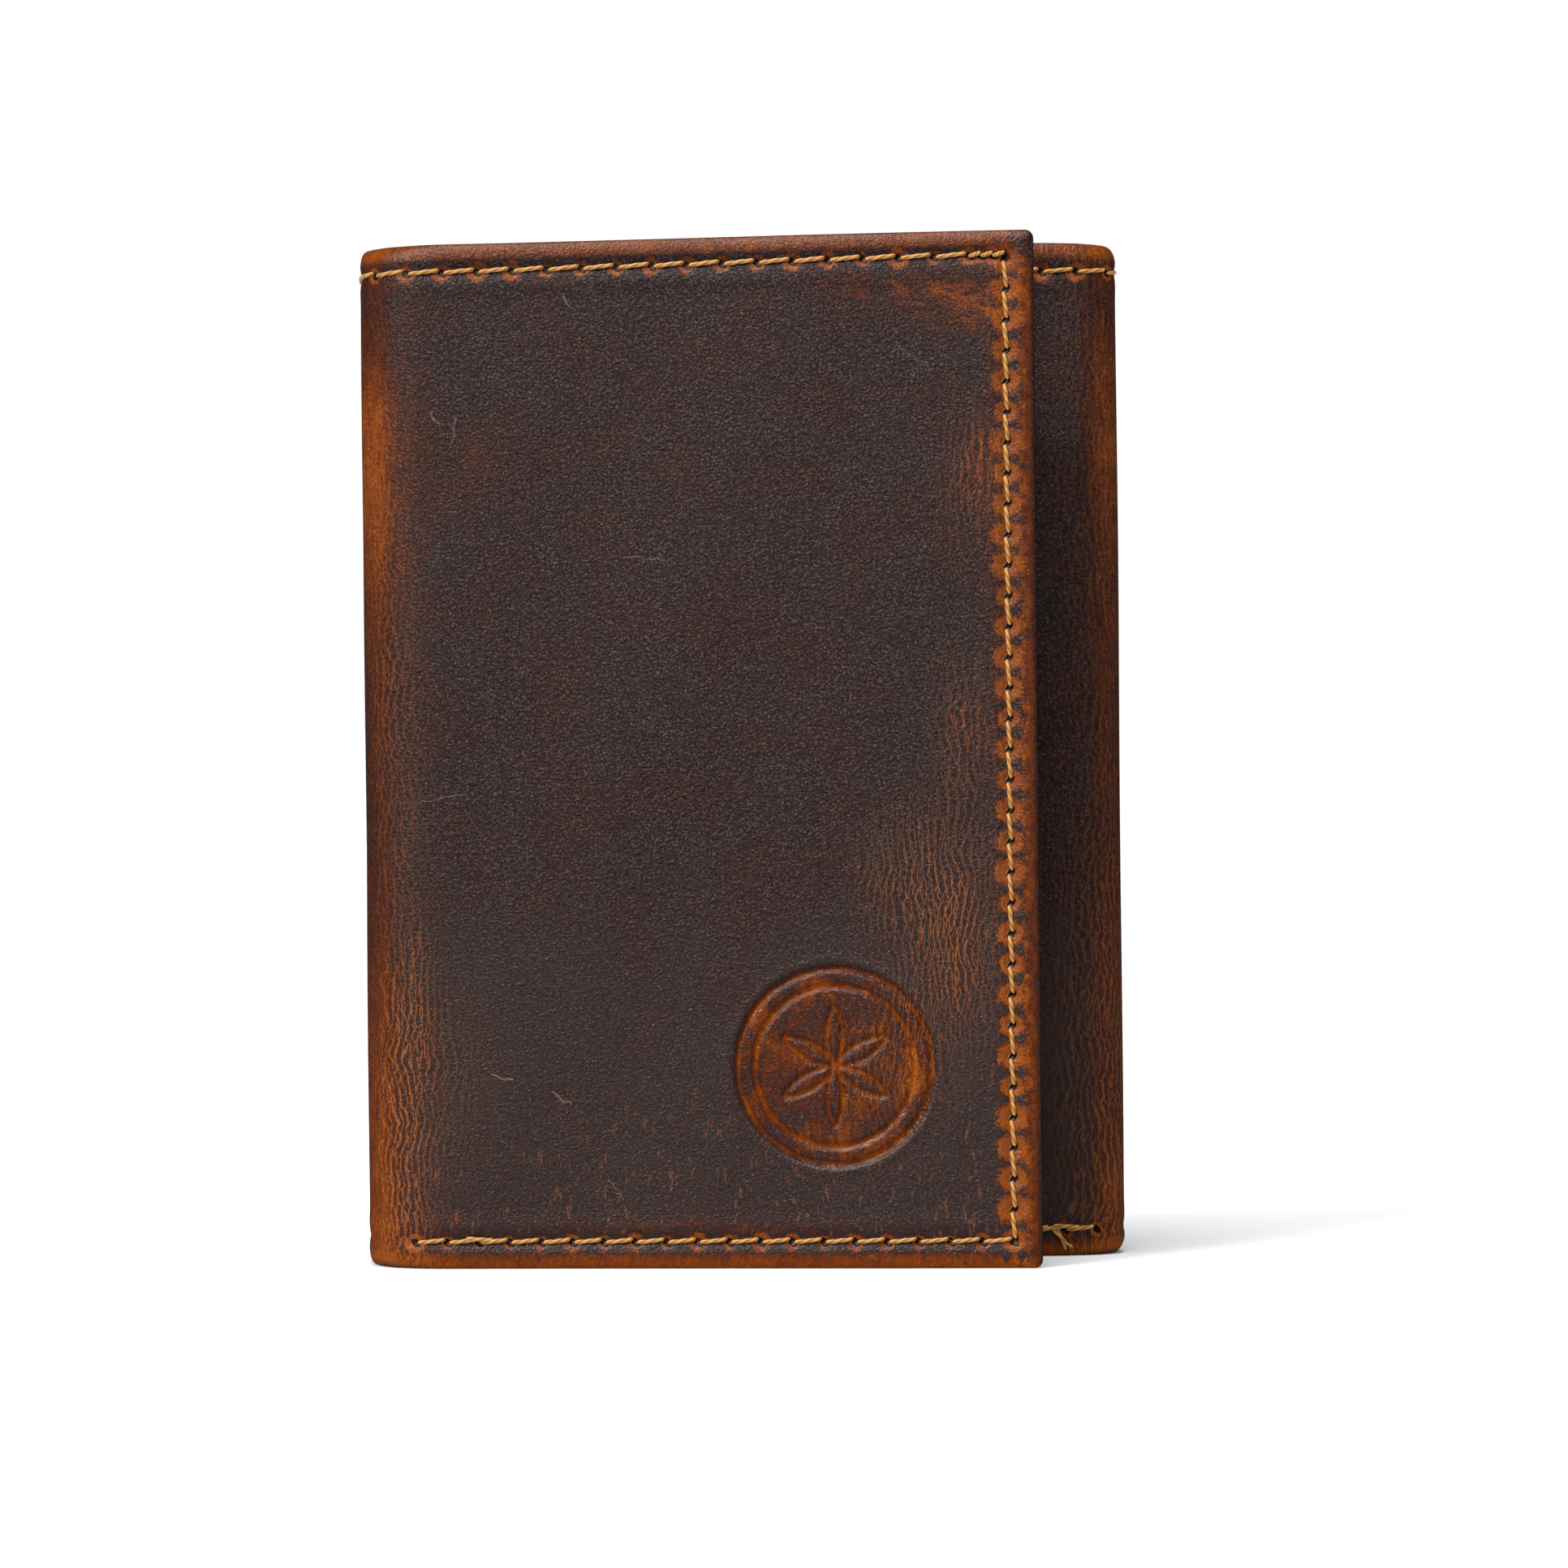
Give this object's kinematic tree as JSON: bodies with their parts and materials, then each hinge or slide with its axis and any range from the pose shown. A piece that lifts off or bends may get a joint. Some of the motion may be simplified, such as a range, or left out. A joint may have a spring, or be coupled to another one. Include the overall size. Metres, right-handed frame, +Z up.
{
  "type": "trifold wallet",
  "caption": "Closed leather trifold wallet: a front flap and a shorter inner flap fold over a back panel with card pockets, a card window and a bill compartment.",
  "frame": {"origin": "centre of the closed wallet's box, at the bottom edges that it stands on", "axes": "+Z up along the folds; -Y is the side that the front flap closes over; +X runs from the front flap's fold to the inner flap's fold"},
  "size_m": [0.0828, 0.0326, 0.11],
  "materials": {
    "shell_leather": "oiled pull-up leather, satin, tan where it is bent or rubbed",
    "interior_leather": "satin leather",
    "lining_fabric": "woven lining",
    "window_film": "clear film",
    "thread": "twisted thread"
  },
  "bodies": {
    "back": {"back_cover": "shell_leather", "back_lining": "lining_fabric", "back_divider": "interior_leather", "back_hem": "interior_leather", "back_pocket_seams": "interior_leather", "back_pocket_1": "interior_leather", "back_pocket_2": "interior_leather", "back_pocket_3": "interior_leather", "back_thread": "thread", "back_pocket_thread": "thread"},
    "left_spine": {"left_spine_cover": "shell_leather", "left_spine_lining": "lining_fabric", "left_spine_divider": "interior_leather", "left_spine_thread": "thread"},
    "front_flap": {"front_flap_cover": "shell_leather", "front_flap_lining": "lining_fabric", "front_flap_divider": "interior_leather", "front_flap_hem": "interior_leather", "id_pocket_seams": "interior_leather", "id_window_film": "window_film", "id_window_frame": "interior_leather", "front_flap_thread": "thread", "id_window_thread": "thread"},
    "right_spine": {"right_spine_cover": "shell_leather", "right_spine_lining": "lining_fabric", "right_spine_divider": "interior_leather", "right_spine_thread": "thread"},
    "inner_flap": {"inner_flap_cover": "shell_leather", "inner_flap_lining": "lining_fabric", "inner_flap_divider": "interior_leather", "inner_flap_hem": "interior_leather", "flap_pocket_seams": "interior_leather", "flap_pocket_1": "interior_leather", "flap_pocket_2": "interior_leather", "flap_pocket_3": "interior_leather", "inner_flap_thread": "thread", "flap_pocket_thread": "thread", "loose_thread_tail": "thread"}
  },
  "joints": [
    {"name": "left_spine_fold", "type": "hinge", "parent": "back", "child": "left_spine", "pos_m": [-0.0405, 0.0153, 0.055], "axis": [0, 0, -1], "range_deg": [0, 90]},
    {"name": "front_flap_fold", "type": "hinge", "parent": "left_spine", "child": "front_flap", "pos_m": [-0.0405, -0.0032, 0.055], "axis": [0, 0, -1], "range_deg": [0, 80]},
    {"name": "right_spine_fold", "type": "hinge", "parent": "back", "child": "right_spine", "pos_m": [0.0405, 0.0153, 0.055], "axis": [0, 0, 1], "range_deg": [0, 90]},
    {"name": "inner_flap_fold", "type": "hinge", "parent": "right_spine", "child": "inner_flap", "pos_m": [0.0405, 0.0019, 0.055], "axis": [0, 0, 1], "range_deg": [0, 90]}
  ],
  "couplings": [
    {"joint": "front_flap_fold", "follows": "left_spine_fold", "ratio": 0.88888},
    {"joint": "right_spine_fold", "follows": "left_spine_fold", "ratio": 0.6},
    {"joint": "inner_flap_fold", "follows": "left_spine_fold", "ratio": 0.6}
  ]
}
